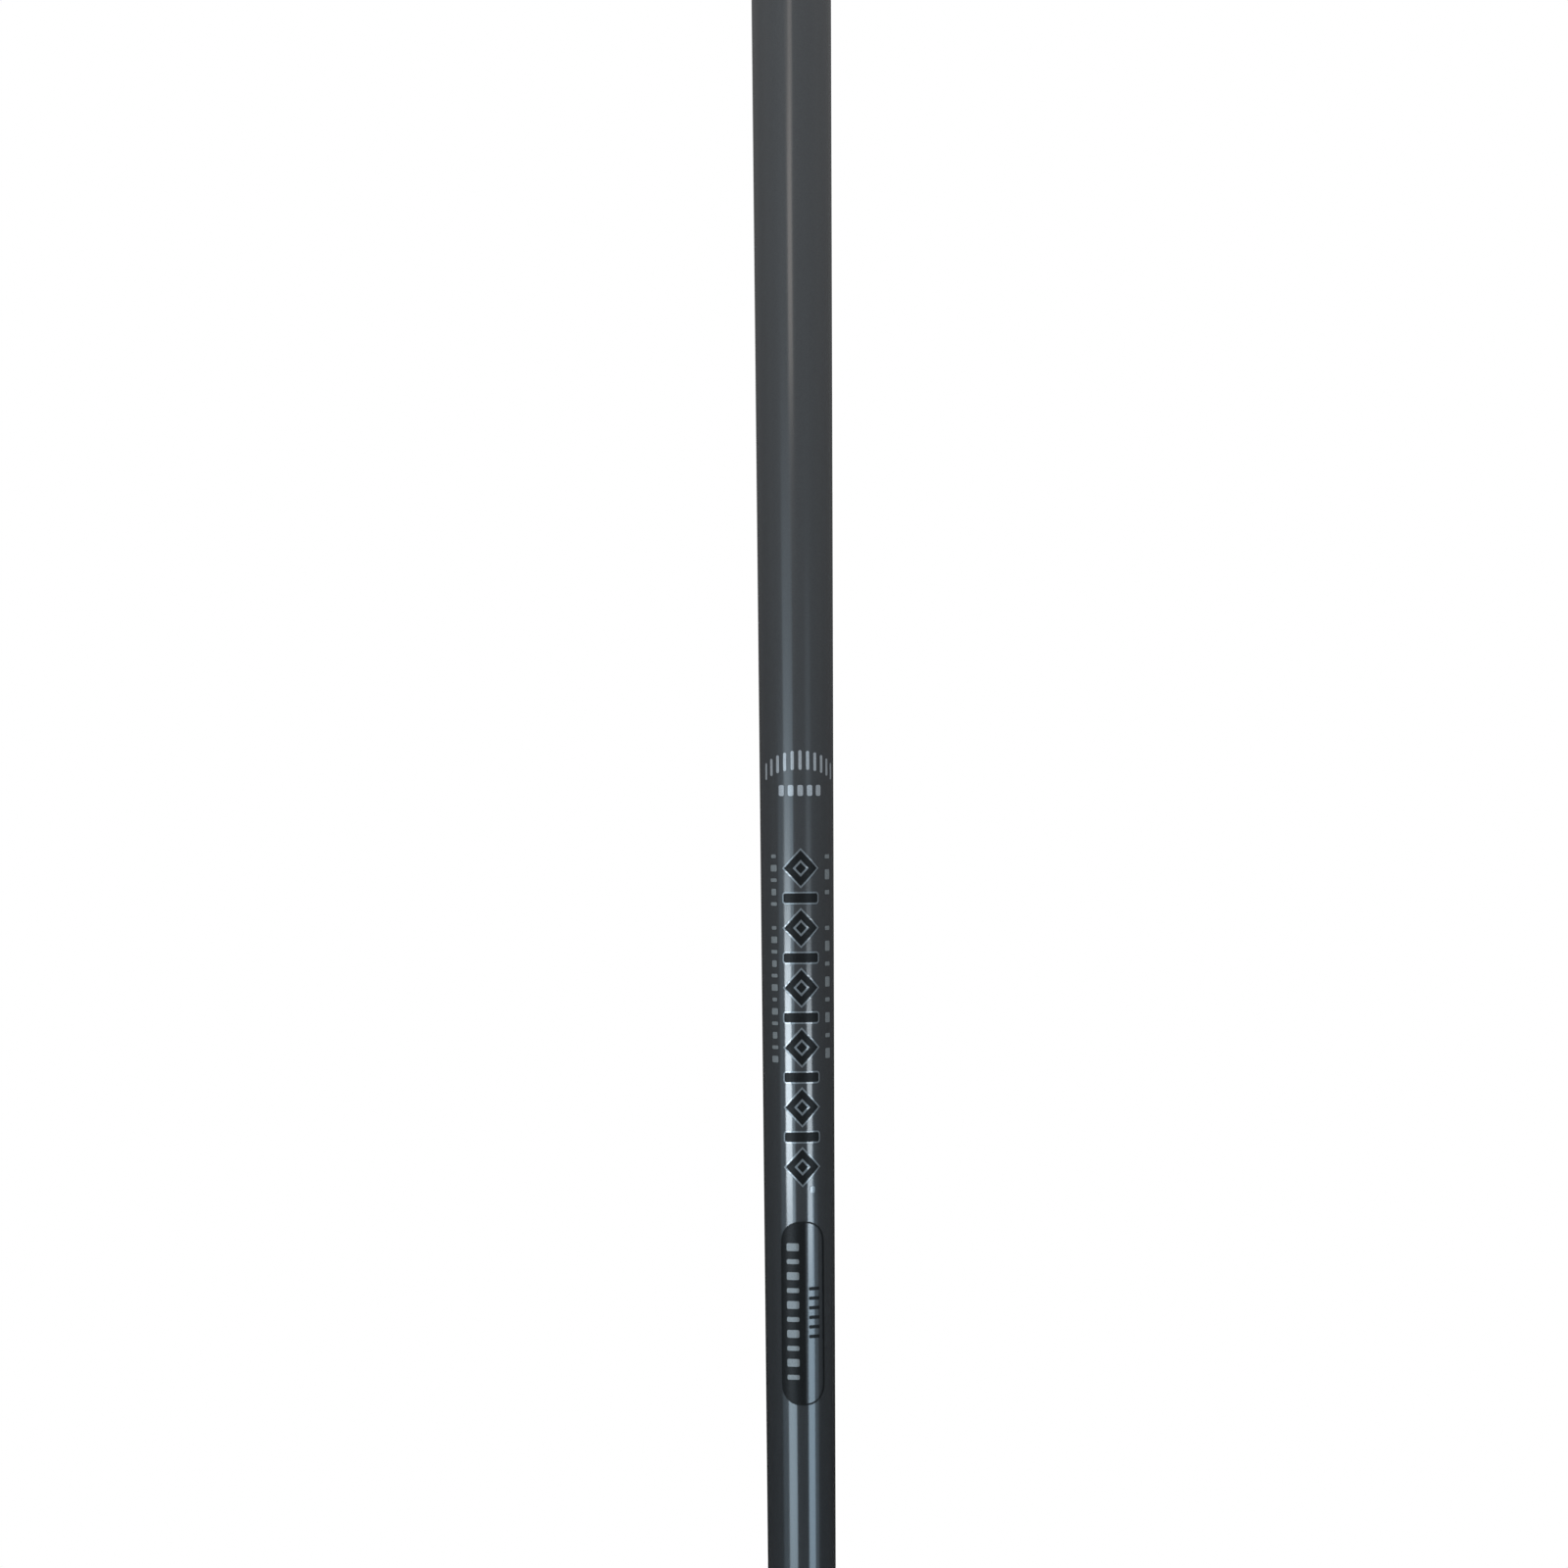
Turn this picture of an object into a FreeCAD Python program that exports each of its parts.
"""A bonded fairway wood: welded steel head, tapered composite shaft and moulded rubber grip.

Row frame, millimetres: +Z runs up the shaft axis and the origin is the middle of the grip's butt face, so the
club hangs below it. The shaft print faces -Y, which is also the toe's side, and the face looks along +X.

The head is drawn in its own frame, as it sits at address: x from heel to toe, y towards the target, z up, and
the origin where the shaft axis meets the ground. HEAD_PLACE carries it into the row frame.
"""

import FreeCAD, Part
import math
import os
import re

import Sketcher
from FreeCAD import Placement, Rotation, Vector

SIZES = {
    # the whole club
    "club_length": 1092.0,  # butt face to the ground, along the shaft axis
    "lie_angle": 57.0,
    "loft_angle": 15.0,
    # shaft: a straight butt, one long taper, and a straight tip
    "butt_od": 15.24,
    "tip_od": 9.4,
    "butt_straight_end": 85.4,
    "tip_straight_start": 859.3,
    "butt_bore": 13.7,
    "tip_bore": 5.6,
    "shaft_top": 4.5,
    "tip_height": 17.0,
    # grip, its end cap and the tape under it
    "grip_length": 267.0,
    "grip_cap_od": 29.6,
    "grip_neck_od": 26.6,
    "grip_neck_drop": 20.0,
    "grip_mouth_od": 17.8,
    "cap_depth": 9.0,
    "cap_edge": 1.8,
    "vent_od": 2.5,
    "tape": 0.15,
    # hosel: heights are above the ground, along the shaft axis
    "neck_top": 54.0,
    "neck_root": 22.0,
    "neck_od": 13.4,
    "neck_fillet": 6.0,
    "tube_od": 11.6,
    "tube_foot": 14.0,
    "tube_floor": 1.5,
    "glue_line": 0.15,
    # ferrule
    "ferrule_length": 20.0,
    "ferrule_top_od": 10.4,
    "ferrule_band": 3.0,
    "ring_width": 0.8,
    "ring_depth": 0.3,
    # pieces inside the shaft's tip
    "tip_weight_length": 18.0,
    "tip_plug_length": 9.0,
    # head envelope
    "head_length": 94.0,
    "head_middle_x": 25.0,
    "head_middle_y": -4.0,
    "skirt_height": 14.0,
    "front_reach": 35.0,
    "back_reach": 46.0,
    "crown_height": 23.0,
    "sole_depth": 14.0,
    "tail_rise": 5.0,
    "heel_roundness": 2.2,  # superellipse powers of the outline seen from above
    "toe_roundness": 2.5,
    "toe_sweep": 0.1,  # how much further back the toe reaches than the middle, as a share
    "sole_belly": 0.5,  # how full the sole's section is beside an ellipse
    "sole_rocker": 0.15,  # how much deeper the sole is towards heel and toe, as a share
    # face: part of a large sphere, tilted back by the loft
    "face_middle_x": 30.0,
    "face_middle_y": 12.0,
    "face_middle_z": 17.0,
    "face_radius": 254.0,
    "face_edge": 2.0,
    # head walls
    "crown_wall": 0.9,
    "skirt_wall": 1.2,
    "sole_wall": 2.0,
    "face_wall": 2.4,
    # welded plates
    "face_plate_length": 62.0,
    "face_plate_height": 24.0,
    "face_plate_corner": 9.0,
    "crown_plate_x": 30.0,
    "crown_plate_y": -20.0,
    "crown_plate_length": 72.0,
    "crown_plate_depth": 48.0,
    "sole_plate_x": 26.0,
    "sole_plate_y": -18.0,
    "sole_plate_length": 68.0,
    "sole_plate_depth": 44.0,
    # score lines
    "score_pitch": 3.2,
    "score_width": 0.8,
    "score_depth": 0.4,
    "score_gap": 20.0,
    "score_length": 17.0,
    # sole badge and the weight screw behind it
    "badge_x": 20.0,
    "badge_y": -14.0,
    "badge_od": 22.0,
    "badge_thickness": 0.8,
    "badge_glue": 0.15,
    "screw_x": 45.0,
    "screw_y": -30.0,
    "screw_od": 6.0,
    "screw_height": 7.0,
    "screw_recess": 0.3,
    "boss_od": 10.0,
    "boss_height": 6.5,
    "socket_flats": 3.0,
    "socket_height": 3.4,
    # pieces inside the head
    "weight_x": 26.0,
    "weight_y": -40.0,
    "weight_length": 34.0,
    "weight_depth": 12.0,
    "weight_height": 10.5,
    "blob_x": 57.0,
    "blob_y": 5.0,
    "blob_z": 2.0,
    "blob_radius": 8.0,
    # mark on the crown
    "film": 0.05,
    "mark_length": 8.0,
    "mark_width": 1.6,
    "mark_front_y": 3.0,
    # print on the shaft: drops below the butt face, angles covered, and angles from -Y towards +X
    "middle_facing": 5.0,
    "crest_top": 443.0,
    "crest_foot": 451.0,
    "crest_sweep": 130.0,
    "name_top": 459.0,
    "name_foot": 517.0,
    "name_sweep": 63.0,
    "left_facing": -40.0,
    "left_top": 459.5,
    "left_foot": 495.5,
    "left_sweep": 21.0,
    "right_facing": 53.5,
    "right_top": 459.5,
    "right_foot": 495.0,
    "right_sweep": 22.0,
    "flex_top": 522.0,
    "flex_foot": 553.0,
    "flex_sweep": 77.0,
}

doc = FreeCAD.newDocument("FairwayWood")
sheet = doc.addObject("Spreadsheet::Sheet", "Sizes")
for row, (alias, value) in enumerate(SIZES.items(), start=1):
    sheet.set(f"A{row}", alias)
    sheet.set(f"B{row}", str(value))
    sheet.setAlias(f"B{row}", alias)
doc.recompute()

SUBPARTS = []


def size(alias):
    """A driving dimension, read back from the sheet."""
    return float(sheet.get(alias))


def on_sheet(formula):
    """Every word in a formula is an alias on the sheet."""
    return re.sub(r"[a-z]\w*", r"Sizes.\g<0>", formula)


def bind(thing, **formulas):
    """Drive the thing's properties from the sheet."""
    for name, formula in formulas.items():
        thing.setExpression(name, on_sheet(formula))
    return thing


def keep(thing, node, place):
    """Make the thing a sub-part of the club, under the name of its node."""
    thing.Label = node
    thing.Placement = place
    SUBPARTS.append(thing)
    return thing


# ---------------------------------------------------------------- turned pieces, all round the shaft axis


def origin_feature(body, role):
    """One of the body's own origin planes or axes."""
    return next(item for item in body.Origin.OriginFeatures if item.Role == role)


def turned(node, outline, sweep="360", facing=0.0):
    """A body turned about the shaft axis from a closed outline of radius and height formulas.

    A sweep of less than 360 degrees is centred on -Y and then turned by facing towards +X.
    """
    body = doc.addObject("PartDesign::Body", node + "_body")
    sketch = body.newObject("Sketcher::SketchObject", node + "_outline")
    sketch.AttachmentSupport = [(origin_feature(body, "XZ_Plane"), "")]
    sketch.MapMode = "FlatFace"
    guesses = [Vector(evaluate(radius), evaluate(height), 0) for radius, height in outline]
    count = len(outline)
    for index in range(count):
        sketch.addGeometry(Part.LineSegment(guesses[index], guesses[(index + 1) % count]))
    for index in range(count):
        sketch.addConstraint(Sketcher.Constraint("Coincident", index, 2, (index + 1) % count, 1))
    for index, (radius, height) in enumerate(outline):
        for axis, formula, guess in (("X", radius, guesses[index].x), ("Y", height, guesses[index].y)):
            number = sketch.addConstraint(Sketcher.Constraint("Distance" + axis, -1, 1, index, 1, guess))
            sketch.renameConstraint(number, f"corner_{index}_{axis}")
            sketch.setExpression(f"Constraints.corner_{index}_{axis}", on_sheet(formula))
    turn = body.newObject("PartDesign::Revolution", node + "_turn")
    turn.Profile = sketch
    turn.ReferenceAxis = (sketch, ["V_Axis"])
    turn.Midplane = True
    turn.setExpression("Angle", on_sheet(sweep))
    middle = 0.0 if sweep == "360" else -90.0 + facing
    return keep(body, node, Placement(Vector(), Rotation(Vector(0, 0, 1), middle)))


def evaluate(formula):
    """The number that a formula of sheet aliases comes to, as a first guess for the sketch solver."""
    spare = f"A{len(SIZES) + 1}"
    sheet.set(spare, "=" + formula)
    sheet.recompute()
    number = float(sheet.get(spare))
    sheet.clear(spare)
    return number


def shaft_radius(drop):
    """Formula for the shaft's outside radius on its taper, at a drop below the butt face."""
    slope = "(butt_od - tip_od) / 2 / (tip_straight_start - butt_straight_end)"
    return f"butt_od / 2 - ({drop} - butt_straight_end) * {slope}"


GROUND = "-club_length"
TIP = f"{GROUND} + tip_height"
NECK_TOP = f"{GROUND} + neck_top"

shaft = turned(
    "shaft",
    [
        ("butt_bore / 2", "-shaft_top"),
        ("butt_od / 2", "-shaft_top"),
        ("butt_od / 2", "-butt_straight_end"),
        ("tip_od / 2", "-tip_straight_start"),
        ("tip_od / 2", TIP),
        ("tip_bore / 2", TIP),
    ],
)

grip_tape = turned(
    "grip_tape",
    [
        ("butt_od / 2", "-shaft_top"),
        ("butt_od / 2 + tape", "-shaft_top"),
        ("butt_od / 2 + tape", "-butt_straight_end"),
        (shaft_radius("grip_length") + " + tape", "-grip_length"),
        (shaft_radius("grip_length"), "-grip_length"),
        ("butt_od / 2", "-butt_straight_end"),
    ],
)

grip = turned(
    "grip",
    [
        ("butt_od / 2 + tape", "-cap_depth"),
        ("grip_cap_od / 2", "-cap_depth"),
        ("grip_neck_od / 2", "-grip_neck_drop"),
        ("grip_mouth_od / 2", "-grip_length"),
        (shaft_radius("grip_length") + " + tape", "-grip_length"),
        ("butt_od / 2 + tape", "-butt_straight_end"),
    ],
)

grip_cap = turned(
    "grip_cap",
    [
        ("vent_od / 2", "0"),
        ("grip_cap_od / 2 - cap_edge", "0"),
        ("grip_cap_od / 2", "-cap_edge"),
        ("grip_cap_od / 2", "-cap_depth"),
        ("butt_od / 2 + tape", "-cap_depth"),
        ("butt_od / 2 + tape", "-shaft_top"),
        ("vent_od / 2", "-shaft_top"),
    ],
)

ferrule_ring = f"{NECK_TOP} + ferrule_band"
ferrule = turned(
    "ferrule",
    [
        ("tip_od / 2", NECK_TOP),
        ("neck_od / 2", NECK_TOP),
        ("neck_od / 2", ferrule_ring),
        ("neck_od / 2 - ring_depth", ferrule_ring),
        ("neck_od / 2 - ring_depth", ferrule_ring + " + ring_width"),
        ("neck_od / 2", ferrule_ring + " + ring_width"),
        ("neck_od / 2", ferrule_ring + " + 2 * ring_width"),
        ("ferrule_top_od / 2", f"{NECK_TOP} + ferrule_length"),
        ("tip_od / 2", f"{NECK_TOP} + ferrule_length"),
    ],
)

TUBE_BORE = "tip_od / 2 + glue_line"
tube_floor_top = f"{GROUND} + tube_foot + tube_floor"
hosel_tube = turned(
    "hosel_tube",
    [
        ("0", f"{GROUND} + tube_foot"),
        ("tube_od / 2", f"{GROUND} + tube_foot"),
        ("tube_od / 2", NECK_TOP),
        (TUBE_BORE, NECK_TOP),
        (TUBE_BORE, tube_floor_top),
        ("0", tube_floor_top),
    ],
)

hosel_epoxy = turned(
    "hosel_epoxy",
    [
        ("0", tube_floor_top),
        (TUBE_BORE, tube_floor_top),
        (TUBE_BORE, NECK_TOP),
        ("tip_od / 2", NECK_TOP),
        ("tip_od / 2", TIP),
        ("0", TIP),
    ],
)

tip_weight = turned(
    "tip_weight",
    [
        ("0", TIP),
        ("tip_bore / 2", TIP),
        ("tip_bore / 2", TIP + " + tip_weight_length"),
        ("0", TIP + " + tip_weight_length"),
    ],
)

plug_foot = TIP + " + tip_weight_length"
tip_plug = turned(
    "tip_plug",
    [
        ("0", plug_foot),
        ("tip_bore / 2", plug_foot),
        ("tip_bore / 2", plug_foot + " + tip_plug_length"),
        ("0", plug_foot + " + tip_plug_length"),
    ],
)



def printed(node, stem, facing):
    """A film of ink on the shaft's taper, between the stem's top and foot and as wide as its sweep."""
    top = stem + "_top"
    foot = stem + "_foot"
    outline = [
        (shaft_radius(top), "-" + top),
        (shaft_radius(top) + " + film", "-" + top),
        (shaft_radius(foot) + " + film", "-" + foot),
        (shaft_radius(foot), "-" + foot),
    ]
    return turned(node, outline, sweep=stem + "_sweep", facing=size(facing))


crest_decal = printed("crest_decal", "crest", "middle_facing")
name_decal = printed("name_decal", "name", "middle_facing")
left_print_decal = printed("left_print_decal", "left", "left_facing")
right_print_decal = printed("right_print_decal", "right", "right_facing")
flex_decal = printed("flex_decal", "flex", "middle_facing")

# ---------------------------------------------------------------- head forms


def superellipse(along, roundness):
    """Half width of a superellipse of half width 1, at a place from -1 to 1 along it."""
    return max(0.0, 1 - abs(along) ** roundness) ** (1 / roundness)


def soften(distance, softness):
    """Nearly the distance while it is well below 0, and just under 0 above that, with a rounded turn."""
    return (distance - math.hypot(distance, softness)) / 2


def face_centre_of_curvature():
    """Middle of the sphere that the face is part of."""
    loft = math.radians(size("loft_angle"))
    middle = Vector(size("face_middle_x"), size("face_middle_y"), size("face_middle_z"))
    return middle - Vector(0, math.cos(loft), math.sin(loft)) * size("face_radius")


def head_point(heel_to_toe, around, walls):
    """A point of the head's form, as far inside its outside as the walls for skirt, crown, sole and face.

    heel_to_toe turns from 0 at the heel to pi at the toe. around turns from 0 at the front, over the crown at
    a quarter turn, to the back at a half turn, and under the sole at three quarters.
    """
    skirt, crown, sole, face = walls
    along = -math.cos(heel_to_toe)
    width = superellipse(along, size("toe_roundness") if along > 0 else size("heel_roundness"))
    forward = math.cos(around)
    upward = math.sin(around)
    reach = size("front_reach") if forward > 0 else size("back_reach") * (1 + size("toe_sweep") * along)
    x = size("head_middle_x") + (size("head_length") / 2 - skirt) * along
    y = size("head_middle_y") + (reach - skirt) * width * forward
    z = size("skirt_height") + size("tail_rise") * width * min(0.0, forward) ** 2
    if upward > 0:
        z += (size("crown_height") - crown) * width * upward
    else:
        fullness = -upward * (1 + size("sole_belly") * (1 - upward**2))
        z -= (size("sole_depth") - sole) * width * fullness * (1 + size("sole_rocker") * along**2)
    centre = face_centre_of_curvature()
    arm = Vector(x, y, z) - centre
    radius = size("face_radius") - face
    return centre + arm * ((radius + soften(arm.Length - radius, size("face_edge"))) / arm.Length)


def head_form(name, walls):
    """A closed solid of the head's shape, as one smooth surface with its poles at heel and toe."""
    rows = 48
    columns = 96
    degree = 3
    poles = [
        [head_point(math.pi * row / rows, 2 * math.pi * column / columns, walls) for column in range(columns)]
        for row in range(rows + 1)
    ]
    row_knots = list(range(rows + 2 - degree))
    row_repeats = [degree + 1] + [1] * (len(row_knots) - 2) + [degree + 1]
    column_knots = list(range(columns + 1))
    surface = Part.BSplineSurface()
    surface.buildFromPolesMultsKnots(
        poles, row_repeats, [1] * (columns + 1), row_knots, column_knots, False, True, degree, degree
    )
    form = doc.addObject("Part::Feature", name)
    form.Shape = Part.Solid(Part.Shell([surface.toShape()]))
    form.Placement = Placement()
    return form


WALLS = [size(name) for name in ("skirt_wall", "crown_wall", "sole_wall", "face_wall")]
NO_WALLS = [0.0] * 4
outside = head_form("outside", NO_WALLS)
cavity = head_form("cavity", WALLS)

# ---------------------------------------------------------------- helpers for the head's booleans


def cut(name, base, tool):
    """What is left of the base outside the tool."""
    thing = doc.addObject("Part::Cut", name)
    thing.Base = base
    thing.Tool = tool
    return thing


def common(name, base, tool):
    """What the base and the tool share."""
    thing = doc.addObject("Part::Common", name)
    thing.Base = base
    thing.Tool = tool
    return thing


def fuse(name, *things):
    """All the things as one."""
    thing = doc.addObject("Part::MultiFuse", name)
    thing.Shapes = list(things)
    return thing


def cylinder(name, place, radius, height):
    """A cylinder with formulas for its radius and height."""
    thing = doc.addObject("Part::Cylinder", name)
    bind(thing, Radius=radius, Height=height)
    thing.Placement = place
    return thing


def box(name, place, length, width, height):
    """A box with formulas for its length along x, width along y and height along z."""
    thing = doc.addObject("Part::Box", name)
    bind(thing, Length=length, Width=width, Height=height)
    thing.Placement = place
    return thing


def oval(name, middle, length, depth, height):
    """An upright oval prism, for a plate's outline seen from above."""
    ring = doc.addObject("Part::Ellipse", name + "_ring")
    bind(ring, MajorRadius=length + " / 2", MinorRadius=depth + " / 2")
    ring.Placement = Placement(middle, Rotation())
    prism = doc.addObject("Part::Extrusion", name)
    prism.Base = ring
    prism.DirMode = "Custom"
    prism.Dir = Vector(0, 0, 1)
    prism.LengthFwd = height
    prism.Solid = True
    return prism


def edges_between(shape, first, second):
    """Numbers of the edges where a face on one kind of surface meets a face on the other."""
    numbers = []
    for number, edge in enumerate(shape.Edges, start=1):
        kinds = [type(face.Surface) for face in shape.ancestorsOfType(edge, Part.Face)]
        if edge.Length > 0.01 and first in kinds and second in kinds:
            numbers.append(number)
    return numbers


def rounded(name, base, numbers, radius):
    """The base with the numbered edges rounded."""
    thing = doc.addObject("Part::Fillet", name)
    thing.Base = base
    thing.Edges = [(number, radius, radius) for number in numbers]
    return thing


# ---------------------------------------------------------------- head shell and neck

lie = math.radians(size("lie_angle"))
loft = math.radians(size("loft_angle"))
SHAFT_AXIS = Vector(-math.cos(lie), 0, math.sin(lie))
FACE_NORMAL = Vector(0, math.cos(loft), math.sin(loft))
FACE_MIDDLE = Vector(size("face_middle_x"), size("face_middle_y"), size("face_middle_z"))
ALONG_SHAFT = Rotation(Vector(0, 0, 1), SHAFT_AXIS)
ON_FACE = Rotation(Vector(1, 0, 0), size("loft_angle"))
HEAD_X = Vector(0, -math.sin(lie), -math.cos(lie))
HEAD_Y = Vector(1, 0, 0)
HEAD_Z = Vector(0, -math.cos(lie), math.sin(lie))
HEAD_PLACE = Placement(Vector(0, 0, -size("club_length")), Rotation(HEAD_X, HEAD_Y, HEAD_Z, "XYZ"))

# How far a cutter runs past the surface that it opens, and how long one is that passes a whole wall.
OVERRUN = 5.0
THROUGH = 30.0

neck = cylinder("neck", Placement(SHAFT_AXIS * size("neck_root"), ALONG_SHAFT), "neck_od / 2", "neck_top - neck_root")
necked = fuse("necked", outside, neck)
doc.recompute()
root_edges = edges_between(necked.Shape, Part.Cylinder, Part.BSplineSurface)
flared = rounded("flared", necked, root_edges, size("neck_fillet"))
tube_room = cylinder(
    "tube_room",
    Placement(SHAFT_AXIS * size("tube_foot"), ALONG_SHAFT),
    "tube_od / 2",
    f"neck_top - tube_foot + {OVERRUN}",
)
shell = cut("shell", flared, fuse("hollows", cavity, tube_room))

# ---------------------------------------------------------------- face plate with its score lines

FACE_REACH = 16.0
face_corner = Vector(-size("face_plate_length") / 2, -FACE_REACH / 2, -size("face_plate_height") / 2)
face_blank = box(
    "face_blank",
    Placement(FACE_MIDDLE + ON_FACE.multVec(face_corner), ON_FACE),
    "face_plate_length",
    str(FACE_REACH),
    "face_plate_height",
)
doc.recompute()
corner_edges = [
    number
    for number, edge in enumerate(face_blank.Shape.Edges, start=1)
    if abs(edge.tangentAt(edge.FirstParameter).dot(FACE_NORMAL)) > 0.99
]
face_room = rounded("face_room", face_blank, corner_edges, size("face_plate_corner"))
face_skin = common("face_skin", shell, face_room)

SCORE_ROWS = 7
slabs = []
for line in range(SCORE_ROWS):
    up = (line - (SCORE_ROWS - 1) / 2) * size("score_pitch") - size("score_width") / 2
    for side, start in (("heel", -size("score_gap") / 2 - size("score_length")), ("toe", size("score_gap") / 2)):
        slabs.append(
            box(
                f"score_{side}_{line}",
                Placement(FACE_MIDDLE + ON_FACE.multVec(Vector(start, -FACE_REACH / 2, up)), ON_FACE),
                "score_length",
                str(FACE_REACH),
                "score_width",
            )
        )
score_floor = doc.addObject("Part::Sphere", "score_floor")
bind(score_floor, Radius="face_radius - score_depth")
score_floor.Placement = Placement(face_centre_of_curvature(), Rotation())
scores = cut("scores", fuse("slabs", *slabs), score_floor)
face_plate = keep(cut("grooved_face", face_skin, scores), "face_plate", HEAD_PLACE)

# ---------------------------------------------------------------- crown plate and sole plate

SEAM_HEIGHT = 20.0
SOLE_TOP = 10.0
crown_middle = Vector(size("crown_plate_x"), size("crown_plate_y"), SEAM_HEIGHT)
crown_room = oval("crown_room", crown_middle, "crown_plate_length", "crown_plate_depth", THROUGH)
crown_plate = keep(common("crown_skin", shell, crown_room), "crown_plate", HEAD_PLACE)

sole_middle = Vector(size("sole_plate_x"), size("sole_plate_y"), SOLE_TOP - THROUGH)
sole_room = oval("sole_room", sole_middle, "sole_plate_length", "sole_plate_depth", THROUGH)
sole_skin = common("sole_skin", shell, sole_room)

head_body = keep(
    cut("opened_shell", shell, fuse("openings", face_room, crown_room, sole_room)), "head_body", HEAD_PLACE
)

# ---------------------------------------------------------------- sole badge, its glue and the weight screw

badge_back = head_form("badge_back", [size("badge_thickness")] * 4)
glue_back = head_form("glue_back", [size("badge_thickness") + size("badge_glue")] * 4)
screw_face = head_form("screw_face", [size("screw_recess")] * 4)

badge_foot = Placement(Vector(size("badge_x"), size("badge_y"), SOLE_TOP - THROUGH), Rotation())
badge_disc = cylinder("badge_disc", badge_foot, "badge_od / 2", str(THROUGH))
badge_round = common("badge_round", outside, badge_disc)
sole_badge = keep(cut("badge_skin", badge_round, badge_back), "sole_badge", HEAD_PLACE)
glue_round = common("glue_round", badge_back, badge_disc)
badge_adhesive = keep(cut("glue_skin", glue_round, glue_back), "badge_adhesive", HEAD_PLACE)
badge_recess = cut("badge_recess", badge_disc, glue_back)

boss_foot = Placement(Vector(size("screw_x"), size("screw_y"), -OVERRUN), Rotation())
boss_rod = cylinder("boss_rod", boss_foot, "boss_od / 2", f"boss_height + {OVERRUN}")
boss = common("boss", outside, boss_rod)
screw_rod = cylinder("screw_rod", boss_foot, "screw_od / 2", f"screw_height + {OVERRUN}")
screw_blank = common("screw_blank", screw_face, screw_rod)
socket_cutter = doc.addObject("Part::Prism", "socket_cutter")
socket_cutter.Polygon = 6
bind(socket_cutter, Circumradius="socket_flats / 3 ^ 0.5", Height=f"socket_height + {OVERRUN}")
socket_cutter.Placement = boss_foot
weight_screw = keep(cut("socketed_screw", screw_blank, socket_cutter), "weight_screw", HEAD_PLACE)

sole_solid = fuse("sole_solid", sole_skin, boss)
sole_drilled = cut("sole_drilled", sole_solid, screw_rod)
sole_plate = keep(cut("sole_recessed", sole_drilled, badge_recess), "sole_plate", HEAD_PLACE)

# ---------------------------------------------------------------- loose pieces inside the head

weight_corner = Vector(
    size("weight_x") - size("weight_length") / 2, size("weight_y") - size("weight_depth") / 2, -OVERRUN
)
weight_block = box(
    "weight_block",
    Placement(weight_corner, Rotation()),
    "weight_length",
    "weight_depth",
    f"weight_height + {OVERRUN}",
)
rear_weight = keep(common("weight_pad", cavity, weight_block), "rear_weight", HEAD_PLACE)

blob_ball = doc.addObject("Part::Sphere", "blob_ball")
bind(blob_ball, Radius="blob_radius")
blob_ball.Placement = Placement(Vector(size("blob_x"), size("blob_y"), size("blob_z")), Rotation())
capture_glue = keep(common("glue_blob", cavity, blob_ball), "capture_glue", HEAD_PLACE)

# ---------------------------------------------------------------- mark on the crown

crown_print = head_form("crown_print", [-size("film")] * 4)
mark_corner = Vector(
    size("face_middle_x") - size("mark_width") / 2, size("mark_front_y") - size("mark_length"), SEAM_HEIGHT
)
mark_box = box("mark_box", Placement(mark_corner, Rotation()), "mark_width", "mark_length", str(THROUGH))
mark_round = common("mark_round", crown_print, mark_box)
alignment_mark = keep(cut("mark_skin", mark_round, outside), "alignment_mark", HEAD_PLACE)

# ---------------------------------------------------------------- check and write

doc.recompute()
for thing in doc.Objects:
    if "Invalid" in thing.State or "Error" in thing.State:
        raise RuntimeError(f"{thing.Name} did not recompute: {thing.State}")
for thing in SUBPARTS:
    if thing.Shape.isNull() or not thing.Shape.isValid():
        raise RuntimeError(f"{thing.Label} has no valid shape")

os.makedirs("parts", exist_ok=True)
for thing in SUBPARTS:
    thing.Shape.exportStep(f"parts/{thing.Label}.step")
    print(f"{thing.Label:18s} {len(thing.Shape.Solids)} solid, {thing.Shape.Volume / 1000:8.3f} cc")
